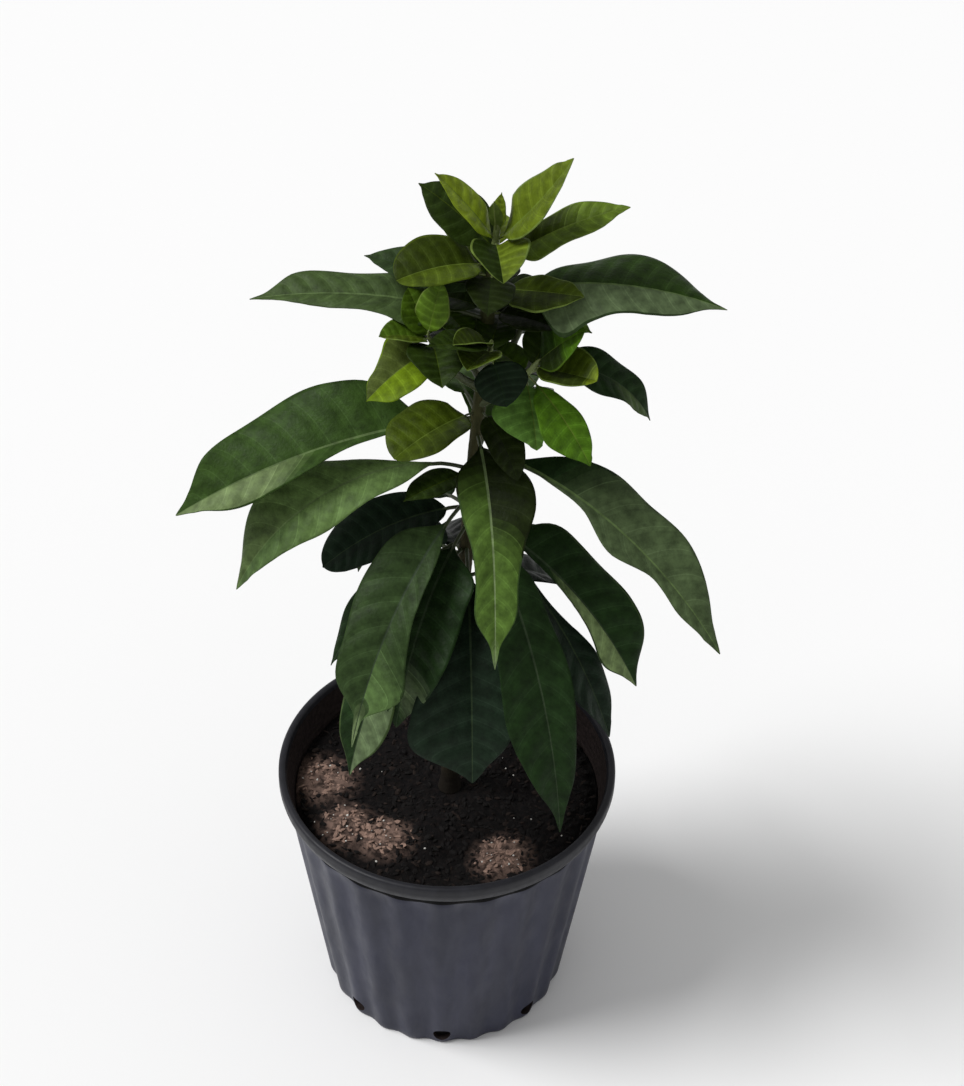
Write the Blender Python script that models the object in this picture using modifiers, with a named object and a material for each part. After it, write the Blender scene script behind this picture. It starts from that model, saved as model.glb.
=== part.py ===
"""A young avocado tree in a fluted nursery pot, as separate closed solids.

Metres, +Z up. The origin is the middle of the pot's flat underside. A heading is an angle in degrees round
the trunk: 0 is the front (-Y), 90 is the right (+X), 180 is the back and -90 is the left. A pitch is an
angle in degrees above the horizon.

Pot, potting mix, trunk and side shoots are single solids. Each mass of foliage is one solid too: a thin
sleeve of new wood round the trunk, or a twig at the tip of a side shoot, with its leaves fused on.
"""

import random
from collections import namedtuple
from math import cos, pi, radians, sin

import bmesh
import bpy
import numpy as np
from mathutils import Vector
from mathutils.bvhtree import BVHTree

# ---- driving dimensions ----

# pot: an eleven inch nursery container
RIM_RADIUS = 0.140
POT_HEIGHT = 0.243
LIP_HEIGHT = 0.016
UNDER_LIP_RADIUS = 0.1345
BASE_RADIUS = 0.1045
WALL = 0.0022
FLOOR = 0.003
FLUTES = 24
FLUTE_DEPTH = 0.0030
STEPS_PER_FLUTE = 4
DRAIN_HOLES = 8
DRAIN_RADIUS = 0.0075

# potting mix
SOIL_HEIGHT = 0.213
SOIL_MOUND = 0.006
SOIL_SIDES = 48

# trunk
TRUNK_FOOT = (0.002, 0.000)
TRUNK_LEAN = 0.026
TRUNK_TIP_HEIGHT = 0.732
TRUNK_RADII = ((0.000, 0.0098), (0.012, 0.0076), (0.05, 0.0062), (0.24, 0.0048), (0.40, 0.0040), (0.55, 0.0028))
TRUNK_STATIONS = 22

GAP = 0.0003          # between solids that rest against each other
SLEEVE = 0.0014       # thickness of the sleeve of new wood that carries leaves
LEAF_THICKNESS = 0.0105   # of a leaf's whole reach
LEAST_THICKNESS = 0.0011
BIG_LEAF = 0.10       # a leaf that reaches further has more faces

COLOURS = {
    "pot": (0.030, 0.032, 0.040),
    "soil": (0.045, 0.028, 0.020),
    "bark": (0.120, 0.085, 0.050),
    "shoot": (0.140, 0.170, 0.050),
    "old_leaf": (0.035, 0.085, 0.022),
    "mid_leaf": (0.060, 0.130, 0.025),
    "young_leaf": (0.160, 0.260, 0.030),
}

# ---- leaves ----
# height is where the stalk leaves the trunk, or how far up its twig. rise and dip are the pitch at the root
# and at the tip. reach is stalk and blade together. roll tips the blade about its midrib, fold lifts both
# halves, and sway turns the heading along the leaf.
Leaf = namedtuple(
    "Leaf", "height heading rise dip reach width roll sway fold stalk", defaults=(0, 0, 16, 0.13)
)

LOWER_FRONT = [
    Leaf(0.505, 58, 0, -60, 0.186, 0.056, roll=15),
    Leaf(0.500, 50, -15, -68, 0.203, 0.054),
    Leaf(0.512, 24, -5, -78, 0.257, 0.066, sway=-6),
    Leaf(0.475, 2, -10, -75, 0.190, 0.072),
    Leaf(0.522, -32, -2, -72, 0.212, 0.064, roll=-10),
    Leaf(0.495, -22, -10, -75, 0.183, 0.058),
    Leaf(0.478, -40, -5, -75, 0.210, 0.046, roll=-10),
    Leaf(0.518, -73, 10, -40, 0.122, 0.046, roll=-20),
    Leaf(0.484, -68, 5, -60, 0.145, 0.044, roll=-15),
]
MIDDLE = [
    Leaf(0.594, -77, 12, -41, 0.242, 0.070, roll=-25, fold=14),
    Leaf(0.547, -68, 18, -52, 0.208, 0.064, roll=-20, fold=12),
    Leaf(0.567, 57, 0, -43, 0.242, 0.060, roll=18, fold=12),
    Leaf(0.582, 13, -14, -70, 0.190, 0.052, sway=-12),
    Leaf(0.600, -52, 12, -35, 0.074, 0.056, fold=22),
    Leaf(0.546, -50, 10, -5, 0.062, 0.028),
]
UPPER = [
    Leaf(0.680, -96, 20, -10, 0.165, 0.036, roll=-12, fold=12),
]
NECK = [
    Leaf(0.699, 88, 22, -18, 0.162, 0.051, roll=10, fold=14),
    Leaf(0.700, -104, 16, -8, 0.090, 0.034, roll=-20),
    Leaf(0.722, 92, 50, 14, 0.100, 0.036, roll=20),
    Leaf(0.724, -66, 25, -8, 0.074, 0.046, roll=-10, fold=24),
    Leaf(0.707, 66, 10, -6, 0.070, 0.040, fold=30),
]
TOP = [
    Leaf(0.009, -76, 60, 48, 0.070, 0.030, roll=-30, stalk=0.06),
    Leaf(0.004, -112, 46, 24, 0.068, 0.032, roll=-30, stalk=0.06),
    Leaf(0.011, 70, 46, 62, 0.090, 0.040, roll=40, stalk=0.06),
    Leaf(0.014, 14, 15, -25, 0.058, 0.036, fold=34, stalk=0.06),
    Leaf(0.018, 150, 75, 82, 0.040, 0.014, stalk=0.05),
    Leaf(0.020, -20, 70, 80, 0.034, 0.012, stalk=0.05),
]
LEFT_TUFT = [
    Leaf(0.003, -62, 5, -34, 0.074, 0.054, roll=-15, fold=24, stalk=0.08),
    Leaf(0.012, -84, 22, -5, 0.052, 0.034, stalk=0.08),
    Leaf(0.016, -45, 55, 30, 0.040, 0.030, stalk=0.08),
    Leaf(0.010, 8, 12, -20, 0.046, 0.046, fold=28, stalk=0.08),
]
RIGHT_TUFT = [
    Leaf(0.010, 66, 4, -10, 0.056, 0.042, roll=15, fold=32, stalk=0.08),
    Leaf(0.015, 92, 22, 5, 0.048, 0.030, stalk=0.08),
    Leaf(0.005, 90, 18, -62, 0.104, 0.034, roll=20),
    Leaf(0.002, 36, -15, -50, 0.074, 0.056),
]
FRONT_TUFT = [
    Leaf(0.006, -8, 18, 0, 0.036, 0.036, fold=36, stalk=0.08),
    Leaf(0.014, -22, 38, 18, 0.034, 0.028, fold=40, stalk=0.08),
    Leaf(0.002, 38, -20, -62, 0.056, 0.040, stalk=0.08),
]


def leaves_by_rule(seed, count, heights, start, dips, reach, width, rise=10, spread=137.5, stalk=0.13):
    """Leaves up a stem, each turned by spread from the last, with the small differences that a plant has."""
    dice = random.Random(seed)
    made = []
    for i in range(count):
        share = i / max(1, count - 1)
        size = dice.uniform(0.9, 1.08)
        height = heights[0] + (heights[1] - heights[0]) * share
        heading = start + spread * i + dice.uniform(-6, 6)
        dip = dips[0] + (dips[1] - dips[0]) * share + dice.uniform(-5, 5)
        lift = rise + dice.uniform(-6, 6)
        made.append(Leaf(height, heading, lift, dip, reach * size, width * size, roll=dice.uniform(-8, 8), stalk=stalk))
    return made


# Side shoots: where each leaves the trunk, its pitch there and at its tip, and its size.
Shoot = namedtuple("Shoot", "height heading rise tip_pitch length root_radius tip_radius twig leaves")
SHOOTS = {
    "left": Shoot(0.621, -57, 36, 64, 0.057, 0.0032, 0.0022, 0.014, LEFT_TUFT),
    "right": Shoot(0.608, 60, 32, 58, 0.052, 0.0032, 0.0022, 0.018, RIGHT_TUFT),
    "front": Shoot(0.638, 8, 30, 62, 0.046, 0.0030, 0.0020, 0.018, FRONT_TUFT),
    "back_left": Shoot(0.630, -128, 32, 60, 0.054, 0.0032, 0.0022, 0.016, []),
    "back_right": Shoot(0.618, 132, 32, 60, 0.056, 0.0032, 0.0022, 0.016, []),
}

# Sleeves round the trunk: the stretch of trunk that each covers, the colour of its leaves, and its leaves.
Sleeve = namedtuple("Sleeve", "low high colour leaves")
SLEEVES = {
    "lower_leaves": Sleeve(
        0.470,
        0.525,
        "old_leaf",
        LOWER_FRONT + leaves_by_rule(4, 4, (0.479, 0.509), 108, (-66, -74), 0.185, 0.056, rise=2, spread=44),
    ),
    "lowest_leaves": Sleeve(
        0.436,
        0.466,
        "old_leaf",
        leaves_by_rule(3, 5, (0.441, 0.461), 100, (-72, -64), 0.160, 0.054, rise=0, spread=38),
    ),
    "middle_leaves": Sleeve(
        0.538,
        0.606,
        "mid_leaf",
        MIDDLE + leaves_by_rule(5, 4, (0.552, 0.594), 116, (-56, -44), 0.205, 0.062, rise=14, spread=42),
    ),
    "upper_leaves": Sleeve(
        0.646,
        0.689,
        "mid_leaf",
        UPPER + leaves_by_rule(7, 3, (0.652, 0.682), 164, (-50, -30), 0.125, 0.044, rise=8, spread=24),
    ),
    "neck_leaves": Sleeve(
        0.692,
        0.727,
        "young_leaf",
        NECK + leaves_by_rule(9, 3, (0.700, 0.718), 138, (-36, -10), 0.088, 0.036, rise=18, spread=42),
    ),
}


# ---- shapes worked out from the sizes ----


def direction(heading, pitch):
    """Unit vector that points along a heading, at a pitch above the horizon."""
    heading, pitch = radians(heading), radians(pitch)
    return Vector((cos(pitch) * sin(heading), -cos(pitch) * cos(heading), sin(pitch)))


def trunk_point(height):
    """Middle of the trunk at a height: it leans to the right, a little more as it goes up."""
    share = (height - SOIL_HEIGHT) / (TRUNK_TIP_HEIGHT - SOIL_HEIGHT)
    x = TRUNK_FOOT[0] + TRUNK_LEAN * max(0.0, share) ** 1.3
    y = TRUNK_FOOT[1] + 0.004 * sin(pi * share)
    return Vector((x, y, height))


def trunk_radius(height):
    """Half the trunk's thickness at a height: a flare at the foot, then a long taper."""
    above, radii = zip(*TRUNK_RADII)
    return float(np.interp(height - SOIL_HEIGHT, above, radii))


def leaf_outline(share):
    """A blade's width from 0 to 1 along it: widest before the middle, with a drawn-out tip."""
    before, after = 0.62, 0.80
    widest = before / (before + after)
    return (share / widest) ** before * ((1 - share) / (1 - widest)) ** after


def leaf_frames(root, leaf, shares):
    """For each share of the leaf's reach: the point on the midrib, and the directions sideways and up."""
    frames = []
    point = Vector(root)
    last = 0.0
    for share in shares:
        middle = (share + last) / 2
        pitch = leaf.rise + (leaf.dip - leaf.rise) * middle**0.8
        point = point + direction(leaf.heading + leaf.sway * middle, pitch) * leaf.reach * (share - last)
        heading = leaf.heading + leaf.sway * share
        along = direction(heading, leaf.rise + (leaf.dip - leaf.rise) * share**0.8)
        side = direction(heading + 90, 0)
        up = along.cross(side)
        turn = radians(leaf.roll * min(1.0, share / 0.3))
        frames.append((point, side * cos(turn) + up * sin(turn), up * cos(turn) - side * sin(turn)))
        last = share
    return frames


# ---- Blender helpers ----


def clear_scene():
    for obj in list(bpy.data.objects):
        bpy.data.objects.remove(obj, do_unlink=True)
    for old in list(bpy.data.collections):
        bpy.data.collections.remove(old)


def new_collection(name, hidden=False):
    made = bpy.data.collections.new(name)
    bpy.context.scene.collection.children.link(made)
    made.hide_render = hidden
    return made


def material(name):
    made = bpy.data.materials.get(name) or bpy.data.materials.new(name)
    made.use_nodes = True
    shader = made.node_tree.nodes["Principled BSDF"]
    shader.inputs["Base Color"].default_value = (*COLOURS[name], 1)
    shader.inputs["Roughness"].default_value = 0.95 if name == "soil" else 0.5
    made.diffuse_color = (*COLOURS[name], 1)
    return made


def add_object(name, mesh, collection, colour=None):
    obj = bpy.data.objects.new(name, mesh)
    collection.objects.link(obj)
    if colour:
        mesh.materials.clear()
        mesh.materials.append(material(colour))
    return obj


def as_cutter(obj):
    obj.hide_render = True
    obj.display_type = "WIRE"
    return obj


def evaluated_mesh(obj):
    """A new mesh of the object with its modifiers applied."""
    bpy.context.view_layer.update()
    graph = bpy.context.evaluated_depsgraph_get()
    return bpy.data.meshes.new_from_object(obj.evaluated_get(graph), depsgraph=graph)


def close_seams(mesh):
    """Welds the caps of a tube, or the seam of a turned shape, and faces everything outwards."""
    shape = bmesh.new()
    shape.from_mesh(mesh)
    bmesh.ops.remove_doubles(shape, verts=shape.verts, dist=1e-6)
    bmesh.ops.recalc_face_normals(shape, faces=shape.faces)
    shape.to_mesh(mesh)
    shape.free()


def tube(name, points, radii, collection, resolution=3):
    """A solid tube with flat ends through the points, with its own radius at each."""
    curve = bpy.data.curves.new(name, "CURVE")
    curve.dimensions = "3D"
    curve.bevel_depth = 1.0
    curve.bevel_resolution = resolution
    curve.use_fill_caps = True
    spline = curve.splines.new("POLY")
    spline.points.add(len(points) - 1)
    for at, point, radius in zip(spline.points, points, radii):
        at.co = (*point, 1)
        at.radius = radius
    guide = add_object(name + "_guide", curve, collection)
    mesh = evaluated_mesh(guide)
    close_seams(mesh)
    bpy.data.objects.remove(guide, do_unlink=True)
    mesh.name = name
    return add_object(name, mesh, collection)


def boolean(obj, operation, target):
    """Adds a Boolean with an object or with a whole collection."""
    modifier = obj.modifiers.new(operation.lower(), "BOOLEAN")
    modifier.operation = operation
    modifier.solver = "EXACT"
    if isinstance(target, bpy.types.Collection):
        modifier.operand_type = "COLLECTION"
        modifier.collection = target
    else:
        modifier.object = target


def apply_all(obj):
    """Makes the evaluated mesh the object's own."""
    mesh = evaluated_mesh(obj)
    obj.modifiers.clear()
    obj.data = mesh


def soften(obj):
    obj.data.shade_smooth()
    obj.data.set_sharp_from_angle(angle=radians(40))


# ---- pot and potting mix ----


def pot_radius(height):
    """Outer radius of the tapering wall below the lip."""
    return BASE_RADIUS + (UNDER_LIP_RADIUS - BASE_RADIUS) * height / (POT_HEIGHT - LIP_HEIGHT)


def turned(name, profile, steps, collection):
    """A solid of revolution about Z from (radius, height) points, run from the top of the axis down outside."""
    mesh = bpy.data.meshes.new(name)
    mesh.from_pydata([(r, 0, z) for r, z in profile], [(i, i + 1) for i in range(len(profile) - 1)], [])
    obj = add_object(name, mesh, collection)
    screw = obj.modifiers.new("turn", "SCREW")
    screw.steps = screw.render_steps = steps
    screw.use_merge_vertices = True
    screw.merge_threshold = 0.00001
    apply_all(obj)
    close_seams(obj.data)
    return obj


def flute(angle, height):
    """How far the wall stands in at an angle: shallow flutes that fade out under the lip and at the foot."""
    top = POT_HEIGHT - LIP_HEIGHT
    fade = min(1.0, max(0.0, (top - height) / 0.02)) * min(1.0, height / 0.004 + 0.6)
    return FLUTE_DEPTH * fade * (0.5 - 0.5 * cos(FLUTES * angle))


def make_pot(parts, cutters):
    lip_foot = POT_HEIGHT - LIP_HEIGHT
    inner_rim = RIM_RADIUS - 0.0075
    profile = [
        (0.0, FLOOR),
        (BASE_RADIUS - WALL - FLUTE_DEPTH, FLOOR),
        (pot_radius(0.20) - WALL - FLUTE_DEPTH, 0.20),
        (UNDER_LIP_RADIUS - WALL, lip_foot),
        (inner_rim, POT_HEIGHT - 0.004),
        (inner_rim + 0.0015, POT_HEIGHT),
        (RIM_RADIUS - 0.0015, POT_HEIGHT),
        (RIM_RADIUS, POT_HEIGHT - 0.002),
        (RIM_RADIUS - 0.001, lip_foot),
        (UNDER_LIP_RADIUS, lip_foot),
        (pot_radius(0.205), 0.205),
        (pot_radius(0.006), 0.006),
        (BASE_RADIUS - 0.003, 0.0),
        (0.0, 0.0),
    ]
    pot = turned("pot", profile, FLUTES * STEPS_PER_FLUTE, parts)
    for vertex in pot.data.vertices:
        x, y, z = vertex.co
        radius = (x * x + y * y) ** 0.5
        outside = radius > pot_radius(z) - WALL and z < lip_foot - 0.001 and radius > BASE_RADIUS * 0.9
        if outside:
            shrink = 1 - flute(np.arctan2(x, -y), z) / radius
            vertex.co = (x * shrink, y * shrink, z)
    for i in range(DRAIN_HOLES):
        around = 2 * pi * i / DRAIN_HOLES
        bpy.ops.mesh.primitive_cylinder_add(vertices=12, radius=DRAIN_RADIUS, depth=0.020)
        hole = as_cutter(bpy.context.object)
        hole.name = f"drain_cutter_{i + 1}"
        hole.rotation_euler = (pi / 2, 0, around)
        hole.location = (sin(around) * (BASE_RADIUS - 0.002), -cos(around) * (BASE_RADIUS - 0.002), 0.0135)
        bpy.context.collection.objects.unlink(hole)
        cutters.objects.link(hole)
    boolean(pot, "DIFFERENCE", cutters)
    apply_all(pot)
    for hole in list(cutters.objects):
        bpy.data.objects.remove(hole, do_unlink=True)
    pot.data.materials.clear()
    pot.data.materials.append(material("pot"))
    soften(pot)
    return pot


def soil_rise(x, y):
    """Height of the uneven surface above its level: low mounds to the front, flat round the trunk."""
    from_trunk = ((x - TRUNK_FOOT[0]) ** 2 + (y - TRUNK_FOOT[1]) ** 2) ** 0.5
    away = min(1.0, max(0.0, from_trunk - 0.019) / 0.02)
    waves = sin(38 * x + 1.0) * cos(31 * y - 0.6) + 0.5 * sin(71 * x - 47 * y)
    return SOIL_MOUND * away * waves * 0.6


def make_soil(parts):
    clear = WALL + FLUTE_DEPTH + GAP / 0.7
    wall_low = BASE_RADIUS - clear
    wall_high = pot_radius(0.20) - clear
    rings = [0.016, 0.035, 0.06, 0.085, 0.108]
    profile = [(0.0, SOIL_HEIGHT)] + [(r, SOIL_HEIGHT) for r in rings]
    profile += [(wall_high, SOIL_HEIGHT - 0.004), (wall_high, 0.198), (wall_low, FLOOR + GAP), (0.0, FLOOR + GAP)]
    soil = turned("potting_mix", profile, SOIL_SIDES, parts)
    for vertex in soil.data.vertices:
        x, y, z = vertex.co
        if z > SOIL_HEIGHT - 0.001:
            vertex.co.z = z + soil_rise(x, y)
    soil.data.materials.clear()
    soil.data.materials.append(material("soil"))
    soften(soil)
    return soil


# ---- trunk and side shoots ----


def trunk_tube(name, extra, collection):
    """The trunk, or a cutter that stands extra clear of it."""
    low = SOIL_HEIGHT + GAP
    flare = [low, low + 0.006, low + 0.014, low + 0.03]
    heights = flare + [float(h) for h in np.linspace(low + 0.06, TRUNK_TIP_HEIGHT, TRUNK_STATIONS - len(flare))]
    points = [trunk_point(h) for h in heights]
    points[0].xy = points[1].xy
    return tube(name, points, [trunk_radius(h) + extra for h in heights], collection)


def shoot_points(shoot, stations=7):
    """Points along a side shoot, from inside the trunk to its tip, and the direction it ends in."""
    point = trunk_point(shoot.height)
    points = [point.copy()]
    step = shoot.length / (stations - 1)
    heading_way = direction(shoot.heading, shoot.rise)
    for i in range(stations - 1):
        pitch = shoot.rise + (shoot.tip_pitch - shoot.rise) * i / (stations - 2)
        heading_way = direction(shoot.heading, pitch)
        point = point + heading_way * step
        points.append(point.copy())
    return points, heading_way


def make_shoot(name, shoot, parts, trunk_cutter):
    points, _ = shoot_points(shoot)
    radii = np.linspace(shoot.root_radius, shoot.tip_radius, len(points))
    radii[0] *= 1.25
    limb = tube(name, points, radii, parts, resolution=2)
    boolean(limb, "DIFFERENCE", trunk_cutter)
    apply_all(limb)
    keep_largest_piece(limb)
    limb.data.materials.append(material("shoot"))
    soften(limb)
    return limb


def keep_largest_piece(obj):
    """Drops the loose scraps that a cut can leave."""
    shape = bmesh.new()
    shape.from_mesh(obj.data)
    left = set(shape.verts)
    pieces = []
    while left:
        stack = [left.pop()]
        piece = set(stack)
        while stack:
            here = stack.pop()
            near = {edge.other_vert(here) for edge in here.link_edges} & left
            stack.extend(near)
            piece |= near
            left -= near
        pieces.append(piece)
    biggest = max(pieces, key=len)
    loose = [v for v in shape.verts if v not in biggest]
    bmesh.ops.delete(shape, geom=loose, context="VERTS")
    shape.to_mesh(obj.data)
    shape.free()


# ---- foliage ----


def make_leaf(name, root, leaf, collection):
    """One leaf: a grid shaped to stalk and blade, and thickened."""
    big = leaf.reach > BIG_LEAF
    along, across = (11, 2) if big else (8, 2)
    stalk_steps = 2
    stalk_half = 0.0016 if big else 0.0009
    shape = bmesh.new()
    bmesh.ops.create_grid(shape, x_segments=along, y_segments=across, size=0.5)
    shares = [leaf.stalk * i / stalk_steps for i in range(stalk_steps)]
    shares += [float(s) for s in leaf.stalk + (1 - leaf.stalk) * np.linspace(0, 1, along - stalk_steps + 1)]
    frames = leaf_frames(root, leaf, shares)
    for vertex in shape.verts:
        station = round((vertex.co.x + 0.5) * along)
        out = vertex.co.y * 2
        point, side, up = frames[station]
        blade = max(0.0, (shares[station] - leaf.stalk) / (1 - leaf.stalk))
        half = max(leaf.width / 2 * leaf_outline(blade), stalk_half if blade < 0.5 else 0.0005)
        fold = radians(leaf.fold) if blade > 0 else 0.0
        vertex.co = point + side * out * half * cos(fold) + up * abs(out) * half * sin(fold)
    mesh = bpy.data.meshes.new(name)
    shape.to_mesh(mesh)
    shape.free()
    obj = add_object(name, mesh, collection)
    thick = obj.modifiers.new("thickness", "SOLIDIFY")
    thick.thickness = max(LEAST_THICKNESS, LEAF_THICKNESS * leaf.reach)
    thick.offset = 0
    apply_all(obj)
    return obj


def surface_of(obj, clear_of=None, distance=0.0):
    """Search tree of the object's faces, without those nearer than a distance to a point."""
    points = [v.co.copy() for v in obj.data.vertices]
    faces = [
        list(p.vertices)
        for p in obj.data.polygons
        if clear_of is None or min((points[i] - clear_of).length for i in p.vertices) > distance
    ]
    return BVHTree.FromPolygons(points, faces)


def touched(obj, obstacles, carrier, root=None, distance=0.0):
    """Names of the solids that an object meets. Near its root it may meet the one that carries it."""
    whole, beyond_root = surface_of(obj), surface_of(obj, root, distance)
    return [name for name, solid in obstacles if (beyond_root if name == carrier else whole).overlap(solid)]


def make_mass(name, stem, rooted_leaves, colour, obstacles, trunk_cutter=None):
    """Fuses the leaves with their stem into one solid. A leaf that would touch another solid is skipped."""
    pieces = new_collection(name + "_pieces")
    carrier = "trunk" if trunk_cutter else None
    others = [obstacle for obstacle in obstacles if obstacle[0] != carrier]
    if touched(stem, others, None):
        print(f"{name}: its stem would touch {touched(stem, others, None)}")
    own = [(name + "_stem", surface_of(stem))]
    for number, (root, leaf) in enumerate(rooted_leaves, 1):
        blade = make_leaf(f"{name}_{number}", root, leaf, pieces)
        hit = touched(blade, obstacles, carrier, Vector(root), 0.012)
        if hit:
            print(f"skipped {name} leaf {number}: it would touch {hit}")
            bpy.data.objects.remove(blade, do_unlink=True)
            continue
        own.append((blade.name, surface_of(blade)))
    boolean(stem, "UNION", pieces)
    if trunk_cutter:
        boolean(stem, "DIFFERENCE", trunk_cutter)
    apply_all(stem)
    keep_largest_piece(stem)
    for obj in list(pieces.objects):
        bpy.data.objects.remove(obj, do_unlink=True)
    bpy.data.collections.remove(pieces)
    stem.name = stem.data.name = name
    stem.data.materials.clear()
    stem.data.materials.append(material(colour))
    soften(stem)
    obstacles.extend(own)
    return stem


def make_sleeve_mass(name, sleeve, parts, obstacles, trunk_cutter):
    heights = [float(h) for h in np.linspace(sleeve.low, sleeve.high, 5)]
    radii = [trunk_radius(h) + GAP + SLEEVE for h in heights]
    stem = tube(name + "_sleeve", [trunk_point(h) for h in heights], radii, parts)
    rooted = []
    for leaf in sleeve.leaves:
        outward = direction(leaf.heading, 0)
        rooted.append((trunk_point(leaf.height) + outward * trunk_radius(leaf.height) * 0.5, leaf))
    return make_mass(name, stem, rooted, sleeve.colour, obstacles, trunk_cutter)


def make_twig_mass(name, foot, way, length, radius, leaves, colour, parts, obstacles):
    """A mass whose stem is a short twig that goes on from a limb's tip."""
    start = foot + way * GAP
    points = [start + way * length * share for share in (0, 0.35, 0.7, 1)]
    stem = tube(name + "_twig", points, [radius, radius * 0.95, radius * 0.8, radius * 0.45], parts, resolution=2)
    rooted = [(start + way * leaf.height, leaf) for leaf in leaves]
    return make_mass(name, stem, rooted, colour, obstacles)


def main():
    clear_scene()
    parts = new_collection("avocado tree")
    cutters = new_collection("cutters", hidden=True)
    make_pot(parts, cutters)
    make_soil(parts)

    trunk = trunk_tube("trunk", 0, parts)
    trunk.data.materials.append(material("bark"))
    soften(trunk)
    trunk_cutter = as_cutter(trunk_tube("trunk_cutter", GAP, cutters))
    obstacles = [(obj.name, surface_of(obj)) for obj in (bpy.data.objects["pot"], bpy.data.objects["potting_mix"], trunk)]

    for name, shoot in SHOOTS.items():
        limb = make_shoot(name + "_shoot", shoot, parts, trunk_cutter)
        obstacles.append((limb.name, surface_of(limb)))

    for name, sleeve in SLEEVES.items():
        make_sleeve_mass(name, sleeve, parts, obstacles, trunk_cutter)

    tip = trunk_point(TRUNK_TIP_HEIGHT)
    lean = (tip - trunk_point(TRUNK_TIP_HEIGHT - 0.02)).normalized()
    top_leaves = TOP + leaves_by_rule(11, 1, (0.006, 0.006), 178, (-18, -18), 0.052, 0.024, rise=12, stalk=0.06)
    make_twig_mass("top_leaves", tip, lean, 0.026, 0.0028, top_leaves, "young_leaf", parts, obstacles)

    for name, shoot in SHOOTS.items():
        points, way = shoot_points(shoot)
        extra = leaves_by_rule(
            len(name), 2 if shoot.leaves else 5, (0.002, 0.015), shoot.heading + 160, (-20, 10), 0.048, 0.030,
            rise=18, stalk=0.08,
        )
        make_twig_mass(
            name + "_tuft", points[-1], way, shoot.twig, shoot.tip_radius, shoot.leaves + extra, "young_leaf",
            parts, obstacles,
        )


main()
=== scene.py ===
import random
from functools import partial
from math import cos, hypot, pi, radians, sin
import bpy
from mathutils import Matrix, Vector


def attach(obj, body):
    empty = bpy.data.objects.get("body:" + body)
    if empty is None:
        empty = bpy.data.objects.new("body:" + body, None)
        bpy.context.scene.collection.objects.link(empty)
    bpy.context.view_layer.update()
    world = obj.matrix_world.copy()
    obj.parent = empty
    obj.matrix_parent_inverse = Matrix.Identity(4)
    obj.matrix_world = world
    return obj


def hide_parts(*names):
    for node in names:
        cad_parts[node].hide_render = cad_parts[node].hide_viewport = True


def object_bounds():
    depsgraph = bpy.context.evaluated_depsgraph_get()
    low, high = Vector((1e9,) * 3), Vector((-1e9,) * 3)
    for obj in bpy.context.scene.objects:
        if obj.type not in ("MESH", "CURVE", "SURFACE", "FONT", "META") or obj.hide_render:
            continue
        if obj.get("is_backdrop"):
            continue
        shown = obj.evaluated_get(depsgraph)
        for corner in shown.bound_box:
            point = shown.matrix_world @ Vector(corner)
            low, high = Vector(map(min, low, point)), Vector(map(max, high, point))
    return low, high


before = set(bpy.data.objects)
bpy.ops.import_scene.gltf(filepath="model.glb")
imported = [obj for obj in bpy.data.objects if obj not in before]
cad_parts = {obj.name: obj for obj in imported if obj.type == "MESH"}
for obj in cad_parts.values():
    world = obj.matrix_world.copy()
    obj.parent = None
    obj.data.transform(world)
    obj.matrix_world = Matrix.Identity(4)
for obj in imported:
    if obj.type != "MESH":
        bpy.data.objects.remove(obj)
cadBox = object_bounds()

from types import SimpleNamespace

import bmesh
import bpy
import numpy as np
from mathutils import Matrix, Vector, noise
from mathutils.bvhtree import BVHTree

# Metres, +Z up, origin in the middle of the pot's underside. A heading is an angle in degrees round the
# trunk: 0 is the front (-Y), 90 the right (+X), 180 the back. A pitch is an angle above the horizon.

view = {
    "target": (0.0245, 0.0, 0.4793),
    "distance": 1.5123,
    "elevation": 39.69,
    "roll": 1.38,
    "lens": 66.3,
}
studio = {
    "floorSize": 60.0,
    "floorColour": (0.9, 0.9, 0.9),
    "ambient": 0.46,
    "sunPower": 2.5,
    "sunFrom": (-0.66, -0.1, 0.86),
    "sunSpread": 28.0,
}


def addObject(name, data):
    made = bpy.data.objects.new(name, data)
    bpy.context.scene.collection.objects.link(made)
    return made


def makeCamera():
    data = bpy.data.cameras.new("camera")
    data.lens = view["lens"]
    camera = addObject("camera", data)
    up = radians(view["elevation"])
    back = Vector((0, -cos(up), sin(up))) * view["distance"]
    turn = Matrix.Rotation(pi / 2 - up, 4, "X") @ Matrix.Rotation(radians(view["roll"]), 4, "Z")
    camera.matrix_world = Matrix.Translation(Vector(view["target"]) + back) @ turn
    bpy.context.scene.camera = camera


def makeSun():
    data = bpy.data.lights.new("sun", "SUN")
    data.energy = studio["sunPower"]
    data.angle = radians(studio["sunSpread"])
    sun = addObject("sun", data)
    sun.location = studio["sunFrom"]
    sun.rotation_euler = (-sun.location).to_track_quat("-Z", "Y").to_euler()


def makeStudio():
    bpy.ops.mesh.primitive_plane_add(size=studio["floorSize"])
    floor = bpy.context.object
    floor.name = "floor"
    made = paint("floorPaint", studio["floorColour"], rough=0.9, mottle=0.0, grain=0.0)
    floor.data.materials.append(made)
    floor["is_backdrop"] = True
    world = bpy.data.worlds.new("world")
    world.use_nodes = True
    sky = world.node_tree.nodes["Background"]
    sky.inputs["Color"].default_value = (1, 1, 1, 1)
    sky.inputs["Strength"].default_value = studio["ambient"]
    bpy.context.scene.world = world
    bpy.context.scene.view_settings.view_transform = "Standard"
    makeSun()


def plug(tree, socket, value):
    # a value is a number, a colour or the output of another node
    if isinstance(value, bpy.types.NodeSocket):
        tree.links.new(value, socket)
    else:
        socket.default_value = value


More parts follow.
